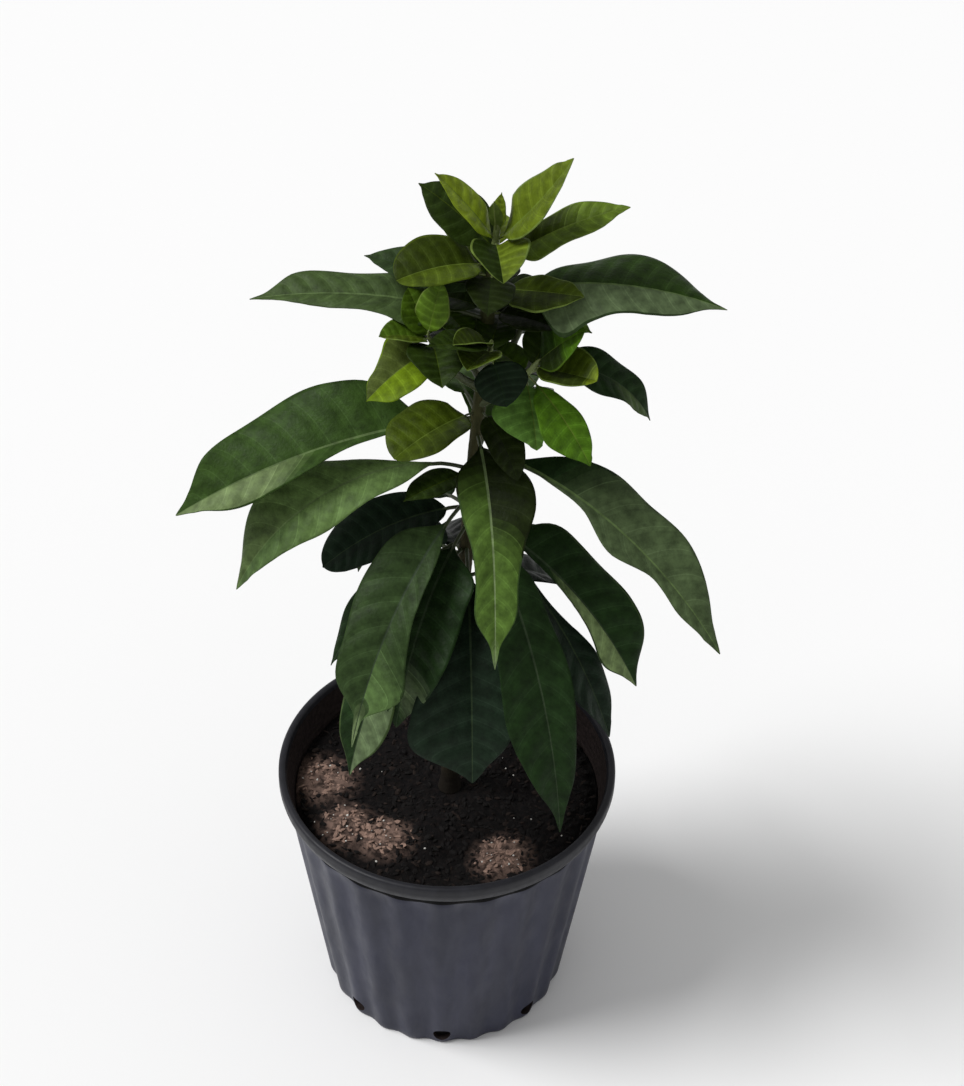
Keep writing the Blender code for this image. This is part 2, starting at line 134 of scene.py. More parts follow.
def addNode(tree, kind, **values):
    node = tree.nodes.new(kind)
    for name, value in values.items():
        plug(tree, node.inputs[name], value)
    return node


def placeOf(tree):
    return tree.nodes.new("ShaderNodeTexCoord").outputs["Object"]


def noiseAt(tree, size, stretch=(1, 1, 1), detail=3.0):
    # a noise with features about this big, in metres
    place = addNode(tree, "ShaderNodeMapping", Vector=placeOf(tree), Scale=stretch).outputs["Vector"]
    made = addNode(tree, "ShaderNodeTexNoise", Vector=place, Scale=1 / size, Detail=detail, Roughness=0.6)
    return made.outputs["Fac"]


def rangeOf(tree, source, low, high, fromLow=0.3, fromHigh=0.7):
    values = {"Value": source, "From Min": fromLow, "From Max": fromHigh, "To Min": low, "To Max": high}
    return addNode(tree, "ShaderNodeMapRange", **values).outputs["Result"]


def mathOf(tree, kind, operation, first, second):
    made = tree.nodes.new(kind)
    made.operation = operation
    plug(tree, made.inputs[0], first)
    plug(tree, made.inputs[1], second)
    return made.outputs["Value"]


def addBump(tree, shader, strength, distance, height):
    bump = addNode(tree, "ShaderNodeBump", Strength=strength, Distance=distance, Height=height)
    tree.links.new(bump.outputs["Normal"], shader.inputs["Normal"])


def newPaint(name, rough, specular):
    made = bpy.data.materials.new(name)
    made.use_nodes = True
    shader = made.node_tree.nodes["Principled BSDF"]
    shader.inputs["Roughness"].default_value = rough
    shader.inputs["Specular IOR Level"].default_value = specular
    return made, made.node_tree, shader


def paint(name, colour, rough=0.5, mottle=0.15, spots=0.012, grain=0.05, grainSize=0.0008, specular=0.5):
    # a plain colour with soft darker and lighter places, and a fine grain that catches the light
    if name in bpy.data.materials:
        return bpy.data.materials[name]
    made, tree, shader = newPaint(name, rough, specular)
    shader.inputs["Base Color"].default_value = (*colour, 1)
    if mottle:
        value = rangeOf(tree, noiseAt(tree, spots), 1 - mottle, 1 + mottle)
        shade = addNode(tree, "ShaderNodeHueSaturation", Color=(*colour, 1), Value=value)
        tree.links.new(shade.outputs["Color"], shader.inputs["Base Color"])
        dull = rangeOf(tree, noiseAt(tree, spots * 0.6), rough - 0.07, rough + 0.07)
        tree.links.new(dull, shader.inputs["Roughness"])
    if grain:
        addBump(tree, shader, grain, grainSize, noiseAt(tree, grainSize, detail=2.0))
    made.diffuse_color = (*colour, 1)
    return made


def mixColour(tree, share, first, second):
    # inputs 6 and 7 of the node are its two colours, output 2 is the mixed one
    made = tree.nodes.new("ShaderNodeMix")
    made.data_type = "RGBA"
    tree.links.new(share, made.inputs["Factor"])
    for socket, colour in zip(made.inputs[6:8], (first, second)):
        plug(tree, socket, (*colour, 1) if isinstance(colour, tuple) else colour)
    return made.outputs[2]


class Heap:
    # points and faces gathered into one piece, each face with its own paint
    def __init__(self):
        self.points = []
        self.faces = []
        self.paints = []

    def add(self, points, faces, paints):
        start = len(self.points)
        self.points += points
        self.faces += [tuple(i + start for i in face) for face in faces]
        self.paints += [paints] * len(faces) if isinstance(paints, str) else paints


def makePiece(name, points, faces, slot, replaced=(), paints=(), smooth=True):
    mesh = bpy.data.meshes.new(name)
    mesh.from_pydata(points, [], faces)
    if smooth:
        mesh.shade_smooth()
    for made in paints:
        mesh.materials.append(made)
    piece = addObject(name, mesh)
    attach(piece, "root")
    if replaced:
        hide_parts(*replaced)
    return piece


def heapPiece(name, heap, slot, replaced=(), smooth=True, underside=None):
    # every paint in the heap becomes a slot; underside(paint) names the paint of its back
    used = sorted(set(heap.paints))
    backs = [underside(paintName) for paintName in used] if underside else []
    paints = [bpy.data.materials[paintName] for paintName in used + backs]
    piece = makePiece(name, heap.points, heap.faces, slot, replaced, paints, smooth)
    index = {paintName: i for i, paintName in enumerate(used)}
    piece.data.polygons.foreach_set("material_index", [index[p] for p in heap.paints])
    return piece


def ringFaces(rings, sides, closed=True):
    # faces between rings of points, with the first and the last ring closed
    faces = []
    for i in range(rings - 1):
        for j in range(sides):
            k = (j + 1) % sides
            faces.append((i * sides + j, i * sides + k, (i + 1) * sides + k, (i + 1) * sides + j))
    if closed:
        faces.append(tuple(range(sides - 1, -1, -1)))
        faces.append(tuple((rings - 1) * sides + j for j in range(sides)))
    return faces


def anglesOf(sides):
    return [2 * pi * j / sides for j in range(sides)]


def spotAt(radius, angle):
    return radius * sin(angle), -radius * cos(angle)


def sweep(points, radii, sides, relief=None):
    # a tube through the points; relief(ring, angle) adds to the radius
    side = None
    made = []
    for i, point in enumerate(points):
        along = (points[min(i + 1, len(points) - 1)] - points[max(i - 1, 0)]).normalized()
        if side is None:
            side = along.orthogonal().normalized()
        side = (side - along * side.dot(along)).normalized()
        across = along.cross(side)
        for angle in anglesOf(sides):
            radius = radii[i] + (relief(i, angle) if relief else 0)
            made.append(point + (side * cos(angle) + across * sin(angle)) * radius)
    return made, ringFaces(len(points), sides)


def ease(low, high, value):
    share = min(1.0, max(0.0, (value - low) / (high - low)))
    return share * share * (3 - 2 * share)


pot = {
    "rimRadius": 0.14,
    "height": 0.243,
    "lip": 0.016,
    "underLip": 0.1345,
    "baseRadius": 0.1045,
    "wall": 0.0022,
    "floor": 0.003,
    "flutes": 24,
    "fluteDepth": 0.003,
    "fluteFade": 0.02,
    "stepsPerFlute": 14,
    "rolledEdge": (0.0063, 0.0031, 0.0025),  # in from the rim, half its width, its rise
    "lipCorners": ((0.0006, 0.0045), (0.0018, 0.0012), (0.0028, 0.0)),  # in from the rim and up
    "undercut": 0.0016,
    "groove": 0.0074,
    "rings": 7,
    "ringsFrom": 0.2,
    "ringDepth": 0.00035,
    "drainHoles": 8,
    "drainRadius": 0.0075,
    "drainHeight": 0.0135,
    "drainDepth": 0.02,
    "sharpAngle": 42,
    # the plastic's blue tint is a painted reflection of the sky; its paler smears are dust and painted
    # sheen
    "plastic": (0.013, 0.0145, 0.03),
    "dustAndSheen": (0.033, 0.0355, 0.064),
    "lipPlastic": (0.015, 0.0152, 0.019),
    # near black: painted shade in the groove under the lip
    "shade": (0.001, 0.001, 0.0014),
    "inside": (0.022, 0.0155, 0.0145),
}
lipFoot = pot["height"] - pot["lip"]


def potRadius(height):
    # outer radius of the tapering wall below the lip
    share = height / lipFoot
    return pot["baseRadius"] + (pot["underLip"] - pot["baseRadius"]) * share


def potFlute(angle, height):
    # how far in, fading out below the lip and towards the foot
    fade = min(1.0, max(0.0, (lipFoot - height) / pot["fluteFade"])) * min(1.0, height / 0.004 + 0.6)
    return pot["fluteDepth"] * fade * (0.5 - 0.5 * cos(pot["flutes"] * angle))


def potProfile():
    # (radius, height, share of the flutes) from the middle of the floor, over the lip, to the underside
    floor, base, rim, lipTop = pot["floor"], pot["baseRadius"], pot["rimRadius"], pot["height"]
    inset = pot["wall"] + pot["fluteDepth"]
    profile = [(0.0, floor, 0), (0.05, floor, 0), (base - inset, floor, 0)]
    profile += [(potRadius(z) - inset, z, 0) for z in np.linspace(0.03, 0.19, 6)]
    low, high = pot["ringsFrom"], lipTop - 0.005
    start, end = potRadius(low) - inset, rim - 0.0072
    for z in np.linspace(low, high, 60):
        share = (z - low) / (high - low)
        ripple = pot["ringDepth"] * sin(2 * pi * pot["rings"] * share) * (1 - share)
        profile.append((start + (end - start) * share + ripple, z, 0))
    edgeIn, edgeWide, edgeRise = pot["rolledEdge"]
    for a in np.linspace(0.1, pi - 0.1, 9):
        profile.append((rim - edgeIn + edgeWide * (1 - cos(a)), lipTop - edgeRise + edgeRise * sin(a), 0))
    profile += [(rim, z, 0) for z in np.linspace(lipTop - 0.0045, lipFoot + 0.0075, 5)]
    profile += [(rim - less, lipFoot + up, 0) for less, up in pot["lipCorners"]]
    profile.append((pot["underLip"] - 0.001, lipFoot, 0))
    grooveFoot = lipFoot - pot["groove"]
    profile += [(pot["underLip"] - pot["undercut"], z, 0) for z in (lipFoot - 0.0004, grooveFoot)]
    profile += [(potRadius(z), z, 1) for z in np.linspace(grooveFoot - 0.0016, 0.006, 40)]
    profile += [(potRadius(0.003) - 0.0004, 0.003, 1), (base - 0.0012, 0.0008, 1)]
    return profile + [(base - 0.003, 0.0, 1), (0.05, 0.0, 0), (0.0, 0.0, 0)]


def makePot():
    steps = pot["flutes"] * pot["stepsPerFlute"]
    profile = potProfile()
    points = []
    for radius, z, fluted in profile:
        for angle in anglesOf(steps):
            reach = radius - potFlute(angle, z) * fluted
            points.append((*spotAt(reach, angle), z))
    faces = ringFaces(len(profile), steps, closed=False)
    piece = makePiece("fluted-pot", points, faces, "pot_plastic", ["pot"])
    shape = bmesh.new()
    shape.from_mesh(piece.data)
    bmesh.ops.remove_doubles(shape, verts=shape.verts, dist=1e-6)
    bmesh.ops.recalc_face_normals(shape, faces=shape.faces)
    shape.to_mesh(piece.data)
    shape.free()
    drillPot(piece)
    piece.data.shade_smooth()
    piece.data.set_sharp_from_angle(angle=radians(pot["sharpAngle"]))
    paintPot(piece)


def drillPot(piece):
    cutters = []
    for i, around in enumerate(anglesOf(pot["drainHoles"])):
        radius, depth = pot["drainRadius"], pot["drainDepth"]
        bpy.ops.mesh.primitive_cylinder_add(vertices=40, radius=radius, depth=depth)
        cutter = bpy.context.object
        cutter.rotation_euler = (pi / 2, 0, around)
        cutter.location = (*spotAt(pot["baseRadius"] - 0.002, around), pot["drainHeight"])
        cut = piece.modifiers.new(f"drain{i}", "BOOLEAN")
        cut.operation = "DIFFERENCE"
        cut.object = cutter
        cutters.append(cutter)
    bpy.context.view_layer.update()
    graph = bpy.context.evaluated_depsgraph_get()
    mesh = bpy.data.meshes.new_from_object(piece.evaluated_get(graph), depsgraph=graph)
    piece.modifiers.clear()
    piece.data = mesh
    for cutter in cutters:
        bpy.data.objects.remove(cutter, do_unlink=True)


def potPaint():
    made, tree, shader = newPaint("potPlastic", 0.5, 0.22)
    # paler vertical smears of dust and painted sheen over a blue tint that stands for a painted sky
    # reflection
    smears = rangeOf(tree, noiseAt(tree, 0.03, (1, 1, 0.18), 5.0), 0.0, 0.75, 0.4, 0.72)
    colour = mixColour(tree, smears, pot["plastic"], pot["dustAndSheen"])
    tree.links.new(colour, shader.inputs["Base Color"])
    rough = rangeOf(tree, noiseAt(tree, 0.012, (1, 1, 0.4)), 0.36, 0.5)
    tree.links.new(rough, shader.inputs["Roughness"])
    addBump(tree, shader, 0.12, 0.0004, noiseAt(tree, 0.0015))
    return made


def paintPot(piece):
    # plastic all over with dust and painted sheen, painted shade in the groove under the lip, and mix dust
    # on the inner wall
    dull = {"rough": 0.8, "mottle": 0.4, "spots": 0.004, "grain": 0.4, "specular": 0.15}
    piece.data.materials.clear()
    for made in (
        potPaint(), paint("potGroove", pot["shade"], **dull), paint("potInside", pot["inside"], **dull),
        paint("potLip", pot["lipPlastic"], rough=0.45, mottle=0.25, specular=0.22),
    ):
        piece.data.materials.append(made)
    for face in piece.data.polygons:
        middle = face.center
        outward = middle.x * face.normal.x + middle.y * face.normal.y
        face.material_index = 0
        if outward < 0 and pot["floor"] < middle.z < pot["height"] - 0.004:
            face.material_index = 2
        # painted shade: the faces in and just below the groove under the lip are painted near black
        elif lipFoot - pot["groove"] - 0.0008 < middle.z < lipFoot + 0.0002:
            face.material_index = 1
        elif middle.z > lipFoot:
            face.material_index = 3


soil = {
    "height": 0.213,
    "radius": 0.1268,
    "rings": 90,
    "sides": 260,
    "mound": 0.0036,
    "lump": 0.0022,
    "crumb": 0.0012,
    "flatRound": 0.019,  # from the trunk: level, then smooth, then clear of chips
    "calmRound": (0.009, 0.022),
    "clearRound": 0.013,
    "margin": 0.004,
    "edge": (0.9, 0.004),  # where it sinks at the wall, and how deep
    "dryLift": 0.003,
    "dark": (0.0027, 0.0022, 0.0023),
    "brown": (0.0085, 0.0057, 0.005),
    # the pale tone of the dry mounds, which also stands for painted patches of sunlight on them
    "dry": (0.19, 0.125, 0.1),
    "drySunlitPlaces": (
        (-0.104, 0.004, 0.034), (-0.08, -0.05, 0.03), (-0.05, -0.062, 0.03),
        (0.046, -0.078, 0.03), (0.02, 0.09, 0.03),
    ),
}
trunkFoot = (0.002, 0.0)


def fromTrunk(x, y):
    return hypot(x - trunkFoot[0], y - trunkFoot[1])


def soilRise(x, y):
    # low mounds, flat round the trunk
    away = min(1.0, max(0.0, fromTrunk(x, y) - soil["flatRound"]) / 0.02)
    waves = sin(38 * x + 1.0) * cos(31 * y - 0.6) + 0.5 * sin(71 * x - 47 * y)
    return soil["mound"] * away * waves


def dryness(x, y):
    # 0 where the mix is damp, up to 1 in the middle of a dry mound, where a patch of sunlight is painted
    # too
    return max(ease(reach, reach * 0.35, hypot(x - px, y - py)) for px, py, reach in soil["drySunlitPlaces"])


def soilSurface(x, y):
    spot = Vector((x, y, 0))
    lumps = noise.fractal(spot * 110, 1.0, 2.0, 4) * soil["lump"]
    crumbs = abs(noise.noise(spot * 420)) * soil["crumb"] + noise.noise(spot * 900) * soil["crumb"] * 0.5
    calm = ease(*soil["calmRound"], fromTrunk(x, y))
    return soil["height"] + soilRise(x, y) + (lumps + crumbs) * calm + dryness(x, y) * soil["dryLift"]


def makeSoil():
    points = []
    angles = anglesOf(soil["sides"])
    edgeFrom, edgeDrop = soil["edge"]
    for i in range(soil["rings"]):
        radius = 0.0005 + (soil["radius"] - 0.0005) * i / (soil["rings"] - 1)
        sink = ease(edgeFrom * soil["radius"], soil["radius"], radius) * edgeDrop
        for x, y in (spotAt(radius, angle) for angle in angles):
            points.append((x, y, soilSurface(x, y) - sink))
    wall = pot["wall"] + pot["fluteDepth"] + 0.0005
    for z in (0.19, 0.1, pot["floor"] + 0.0005):
        points += [(*spotAt(potRadius(z) - wall, angle), z) for angle in angles]
    faces = ringFaces(soil["rings"] + 3, soil["sides"])
    makePiece("potting-mix", points, faces, "potting_mix", ["potting_mix"], [soilPaint()])
    scatterChips()
    scatterGrains()


def soilPaint():
    # damp and brown, paler on the dry places, which also carry painted patches of sunlight
    made, tree, shader = newPaint("dampMix", 0.9, 0.15)
    place = placeOf(tree)
    dry = 0.0
    for x, y, reach in soil["drySunlitPlaces"]:
        away = mathOf(tree, "ShaderNodeVectorMath", "DISTANCE", place, (x, y, soil["height"]))
        here = rangeOf(tree, away, 1.0, 0.0, reach * 0.45, reach * 1.05)
        dry = mathOf(tree, "ShaderNodeMath", "MAXIMUM", dry, here)
    blotches = rangeOf(tree, noiseAt(tree, 0.006, detail=4.0), 0.15, 1.0, 0.38, 0.6)
    patchy = mathOf(tree, "ShaderNodeMath", "MULTIPLY", dry, blotches)
    brown = rangeOf(tree, noiseAt(tree, 0.004, detail=4.0), 0.0, 0.8, 0.45, 0.65)
    damp = mixColour(tree, brown, soil["dark"], soil["brown"])
    tree.links.new(mixColour(tree, patchy, damp, soil["dry"]), shader.inputs["Base Color"])
    addBump(tree, shader, 0.6, 0.0012, noiseAt(tree, 0.0016, detail=4.0))
    return made


def spotOnSoil(dice):
    radius = (soil["radius"] - soil["margin"]) * dice.random() ** 0.5
    x, y = spotAt(radius, dice.uniform(0, 2 * pi))
    return (x, y) if fromTrunk(x, y) >= soil["clearRound"] else spotOnSoil(dice)


chips = {
    "count": 2400,
    "length": (0.001, 0.0042),
    "width": (0.3, 0.7),
    "thickness": (0.12, 0.3),
    "colours": {
        "chipDark": (0.0042, 0.0032, 0.003),
        "chipBrown": (0.015, 0.0095, 0.0074),
        # chips on the dry mounds, paler also for the painted sunlight there
        "chipDry": (0.27, 0.176, 0.138),
    },
    "surface": {
        "rough": 0.85, "mottle": 0.3, "spots": 0.003, "grain": 0.4, "grainSize": 0.0006, "specular": 0.2,
    },
}
grains = {"count": 80, "size": (0.0005, 0.0013), "colour": (0.62, 0.6, 0.56)}


def scatterChips():
    # flakes of composted bark, paler where the mix has dried and a patch of sunlight is painted
    dice = random.Random(21)
    for name, colour in chips["colours"].items():
        paint(name, colour, **chips["surface"])
    heap = Heap()
    for _ in range(chips["count"]):
        x, y = spotOnSoil(dice)
        dried = dryness(x, y) > dice.uniform(0.15, 0.9)
        kind = "chipDry" if dried else dice.choice(("chipDark", "chipDark", "chipDark", "chipBrown"))
        length = dice.uniform(*chips["length"])
        width = length * dice.uniform(*chips["width"])
        size = Vector((length, width, length * dice.uniform(*chips["thickness"])))
        turn = Matrix.Rotation(dice.uniform(0, 2 * pi), 3, "Z")
        turn = turn @ Matrix.Rotation(dice.gauss(0, 0.35), 3, "X")
        turn = turn @ Matrix.Rotation(dice.gauss(0, 0.3), 3, "Y")
        centre = Vector((x, y, soilSurface(x, y) + size.z * 0.3))
        addPebble(heap, centre, size, turn, kind, dice)
    heapPiece("bark-chips", heap, "potting_mix", smooth=False)


def scatterGrains():
    dice = random.Random(8)
    paint("whiteGrain", grains["colour"], rough=0.9, mottle=0.1, grain=0.4, specular=0.2)
    heap = Heap()
    placed = 0
    while placed < grains["count"]:
        x, y = spotOnSoil(dice)
        if dice.random() > 0.06 + dryness(x, y):
            continue
        placed += 1
        radius = dice.uniform(*grains["size"])
        size = Vector((radius, radius * dice.uniform(0.7, 1), radius * dice.uniform(0.6, 0.9)))
        centre = Vector((x, y, soilSurface(x, y) + radius * 0.3))
        addPebble(heap, centre, size, Matrix.Rotation(dice.uniform(0, pi), 3, "Z"), "whiteGrain", dice)
    heapPiece("white-grains", heap, "potting_mix")


def addPebble(heap, centre, size, turn, paintName, dice):
    # a rough six-sided lump
    rings = ((-0.75, 0.55), (0.0, 1.0), (0.75, 0.6))
    sides = 6
    points = []
    for z, wide in rings:
        for angle in anglesOf(sides):
            rough = dice.uniform(0.8, 1.15)
            x, y = cos(angle) * wide * rough * size.x, sin(angle) * wide * rough * size.y
            points.append(centre + turn @ Vector((x, y, z * size.z)))
    heap.add(points, ringFaces(len(rings), sides), paintName)


trunk = {
    "lean": 0.026,
    "tip": 0.732,
    "sway": 0.004,
    "above": (0.0, 0.012, 0.05, 0.24, 0.4, 0.55),  # the mix, with the radius at each of these
    "radii": (0.0098, 0.0078, 0.0068, 0.0056, 0.0046, 0.0029),
    "rings": 420,
    "sides": 36,
    "ridge": 0.00045,
    "ridgeLeast": 0.00008,
    "oldScars": (9, 0.262, 0.021),  # count, lowest, step
    "swelling": (0.0011, 0.0028, 0.0035, 0.002),  # relief, width, height and drop
    "ledge": (0.0005, 0.0022, 0.0009, 0.0),
    "bark": (0.026, 0.023, 0.009),
    "barkPale": (0.076, 0.064, 0.03),
    "barkGreen": (0.033, 0.038, 0.011),
    "barkFoot": (0.014, 0.011, 0.008),
    "wet": (0.29, 0.228),
    "green": (0.46, 0.66),
    "topTwig": (0.026, 0.0028),
}
gap = 0.0003  # left between pieces that meet


def direction(heading, pitch):
    heading, pitch = radians(heading), radians(pitch)
    return Vector((cos(pitch) * sin(heading), -cos(pitch) * cos(heading), sin(pitch)))


def trunkPoint(height):
    share = (height - soil["height"]) / (trunk["tip"] - soil["height"])
    x = trunkFoot[0] + trunk["lean"] * max(0.0, share) ** 1.3
    return Vector((x, trunkFoot[1] + trunk["sway"] * sin(pi * share), height))


def trunkRadius(height):
    return float(np.interp(height - soil["height"], trunk["above"], trunk["radii"]))


def leafScars():
    # where old leaves have fallen from the bare stem, and where the present ones leave it
    count, lowest, step = trunk["oldScars"]
    scars = [(lowest + step * i, radians(40 + 137.5 * i)) for i in range(count)]
    leaves = [made for mass in masses.values() if mass["on"] == "trunk" for made in mass["leaves"]]
    return scars + [(made.height, radians(made.heading)) for made in leaves]


def makeTrunk():
    low = soil["height"] + gap
    heights = list(np.linspace(low, low + 0.03, 40))
    heights += list(np.linspace(low + 0.031, trunk["tip"], trunk["rings"]))
    points = [trunkPoint(h) for h in heights]
    points[0].xy = points[1].xy
    scars = leafScars()
    made = []
    for point, height in zip(points, heights):
        near = [(z, a) for z, a in scars if abs(z - height) < 0.01]
        radius = trunkRadius(height)
        strength = trunk["ridge"] * ease(0.72, 0.4, height) + trunk["ridgeLeast"]
        for angle in anglesOf(trunk["sides"]):
            way = Vector((*spotAt(1, angle), 0))
            spot = Vector((way.x * 2.2, way.y * 2.2, height * 38))
            ridges = noise.fractal(spot, 0.8, 2.2, 4) * strength
            pits = noise.noise(Vector((way.x * 5, way.y * 5, height * 210))) * strength * 0.5
            scar = sum(scarRelief(height - z, angle - a, radius) for z, a in near)
            made.append(point + way * (radius + ridges + pits + scar))
    faces = ringFaces(len(heights), trunk["sides"])
    makePiece("trunk-bark", made, faces, "bark", ["trunk"], [barkPaint()])


def scarRelief(rise, turn, radius):
    # a swelling below a leaf's foot, with a small ledge on top
    across = ((turn + pi) % (2 * pi) - pi) * radius
    relief = 0.0
    for most, wide, high, drop in (trunk["swelling"], trunk["ledge"]):
        relief += most * np.exp(-((across / wide) ** 2)) * np.exp(-((rise + drop) / high) ** 2)
    return float(relief)


def barkPaint():
    # streaky brown, darker towards the foot and green towards the crown
    made, tree, shader = newPaint("youngBark", 0.8, 0.15)
    streaks = rangeOf(tree, noiseAt(tree, 0.0035, (1, 1, 0.22), 5.0), 0.0, 1.0, 0.38, 0.66)
    brown = mixColour(tree, streaks, trunk["bark"], trunk["barkPale"])
    height = addNode(tree, "ShaderNodeSeparateXYZ", Vector=placeOf(tree)).outputs["Z"]
    green = rangeOf(tree, height, 0.0, 0.85, *trunk["green"])
    dry = mixColour(tree, green, brown, trunk["barkGreen"])
    wet = rangeOf(tree, height, 0.0, 1.0, *trunk["wet"])
    tree.links.new(mixColour(tree, wet, dry, trunk["barkFoot"]), shader.inputs["Base Color"])
    addBump(tree, shader, 0.7, 0.0006, noiseAt(tree, 0.0011, (1, 1, 0.3), 4.0))
    return made


shootMake = {"stations": 48, "sides": 20, "swell": (0.35, 0.12), "green": (0.045, 0.058, 0.018)}


def shoot(height, heading, rise, tipPitch, length, rootRadius, tipRadius, twig):
    return SimpleNamespace(**locals())


shoots = {
    "left": shoot(0.621, -57, 36, 64, 0.057, 0.0032, 0.0022, 0.014),
    "right": shoot(0.608, 60, 32, 58, 0.052, 0.0032, 0.0022, 0.018),
    "front": shoot(0.638, 8, 30, 62, 0.046, 0.003, 0.002, 0.018),
    "back_left": shoot(0.63, -128, 32, 60, 0.054, 0.0032, 0.0022, 0.016),
    "back_right": shoot(0.618, 132, 32, 60, 0.056, 0.0032, 0.0022, 0.016),
}


def shootLine(made, stations):
    # points along a side shoot from the trunk's middle
    points = [trunkPoint(made.height)]
    for i in range(stations - 1):
        pitch = made.rise + (made.tipPitch - made.rise) * i / (stations - 2)
        points.append(points[-1] + direction(made.heading, pitch) * made.length / (stations - 1))
    return points


def makeShoots():
    green = paint("greenWood", shootMake["green"], rough=0.6, mottle=0.25, spots=0.006, grain=0.25)
    swell, swellReach = shootMake["swell"]
    share = np.linspace(0, 1, shootMake["stations"])
    for name, made in shoots.items():
        points = shootLine(made, shootMake["stations"])
        radii = made.rootRadius + (made.tipRadius - made.rootRadius) * share
        radii = radii * (1 + swell * np.exp(-((share / swellReach) ** 2)))

        def relief(i, angle):
            knots = 0.00035 * max(0.0, cos(angle * 2 + i * 0.9)) * (1 if i % 12 < 2 else 0)
            spot = Vector((cos(angle) * 2, sin(angle) * 2, i * 0.25 + made.heading))
            return knots + noise.noise(spot) * 0.00018

        tube, faces = sweep(points, radii, shootMake["sides"], relief)
        pieceName = name.replace("_", "-") + "-shoot-wood"
        makePiece(pieceName, tube, faces, "green_wood", [name + "_shoot"], [green])


# the leaf colours hold painted light and shade over the leaves' own greens: the lit, pale, bright and grey
# greens stand for light and sheen on a blade, the shade, deep and dark greens for shade on it
oldColours = {
    "deepBlue": (0.0088, 0.0185, 0.0096), "deepGreen": (0.0095, 0.024, 0.0056),
    "midGreen": (0.038, 0.073, 0.016), "dullGreen": (0.0242, 0.0445, 0.0132),
    "mildGreen": (0.054, 0.093, 0.027), "greyWarm": (0.0526, 0.0784, 0.0323),
    "midLit": (0.056, 0.087, 0.027), "greyGreen": (0.0414, 0.0681, 0.0198),
    "greyPale": (0.08, 0.115, 0.052), "litGreen": (0.06, 0.11, 0.018),
    "paleGreen": (0.12, 0.168, 0.066), "freshPale": (0.062, 0.108, 0.032),
    "paleTip": (0.15, 0.205, 0.09), "shadeBlue": (0.005, 0.0128, 0.0046),
    "midBright": (0.082, 0.136, 0.039), "midDeep": (0.027, 0.056, 0.0095),
}
youngColours = {
    "deepFresh": (0.014, 0.033, 0.003), "tealGreen": (0.076, 0.16, 0.026),
    "freshGreen": (0.046, 0.088, 0.005), "freshBright": (0.064, 0.118, 0.008),
    "freshLit": (0.06, 0.138, 0.007), "olive": (0.044, 0.068, 0.0036),
    "oliveShade": (0.026, 0.041, 0.0024), "oliveWarm": (0.062, 0.085, 0.016),
    "oliveLit": (0.05, 0.076, 0.0036), "darkOlive": (0.016, 0.03, 0.003),
    "shadeGreen": (0.0102, 0.017, 0.0022), "freshMid": (0.082, 0.13, 0.011),
    "yellowGreen": (0.105, 0.164, 0.005), "yellowLit": (0.18, 0.246, 0.015),
    "youngGreen": (0.086, 0.122, 0.0075),
}
leafColours = {**oldColours, **youngColours}
plainColours = {
    "paleRim": (0.11, 0.16, 0.03), "deepRib": (0.03, 0.048, 0.023),
    "paleRib": (0.085, 0.13, 0.045), "youngRib": (0.11, 0.16, 0.024),
    "underOld": (0.045, 0.074, 0.025), "underYoung": (0.07, 0.105, 0.018),
}
leafSurface = {"specular": 0.08, "mottle": 0.34, "spots": 0.008, "grain": 0.2, "grainSize": 0.0022}
# steps from a blade's colour to that of a patch of painted light and shade; gain and lift of a colour away
# from a vein, near it and on it
leafFinish = {
    "rough": 0.48, "undersideRough": 0.68, "steps": 5,
    "plain": (1.0, 0.0), "near": (1.16, 0.001), "vein": (1.45, 0.004),
}
# blade and midrib; where they differ, the half right of the midrib seen from the stalk and the rim follow;
# two halves in different greens are painted light and painted shade, one half lit and the other shaded
# a style of one leaf alone is written at the leaf
leafStyles = {
    "deepBlue": "deepBlue deepRib",
    "deep": "deepGreen deepRib",
    "dull": "dullGreen deepRib",
    "fresh": "freshGreen youngRib",
    "freshLit": "freshLit youngRib",
    "olive": "olive youngRib",
    "oliveRim": "oliveShade youngRib olive paleRim",
    "young": "youngGreen youngRib youngGreen paleRim",
    # darkTop and shade: dark greens painted for the shade inside the crown
    "darkTop": "darkOlive olive",
    "shade": "shadeGreen darkOlive",
}


def styleOf(made):
    names = leafStyles.get(made.style, made.style).split()
    return names if len(names) == 4 else (*names, names[0], names[0])


def makeLeafPaints():
    for name, colour in plainColours.items():
        rough = leafFinish["undersideRough" if name.startswith("under") else "rough"]
        paint(name, colour, rough=rough, **leafSurface)


def bladePaint(first, second="", share=0.0, kind="plain"):
    # a blade colour or a step between two, plain, near a side vein or on it
    steps = leafFinish["steps"]
    level = round(share * steps)
    if level == 0 or first == second:
        name, colour = first, leafColours[first]
    elif level == steps:
        name, colour = second, leafColours[second]
    else:
        name = f"{first}.{second}.{level}"
        pair = zip(leafColours[first], leafColours[second])
        colour = tuple(a + (b - a) * level / steps for a, b in pair)
        kind = "vein" if kind == "vein" else "plain"
    gain, more = leafFinish[kind]
    name += "" if kind == "plain" else "." + kind
    paint(name, tuple(c * gain + more for c in colour), rough=leafFinish["rough"], **leafSurface)
    return name


def undersideOf(name):
    young = name.split(".")[0] in (*youngColours, "paleRim", "youngRib")
    return "underYoung" if young else "underOld"


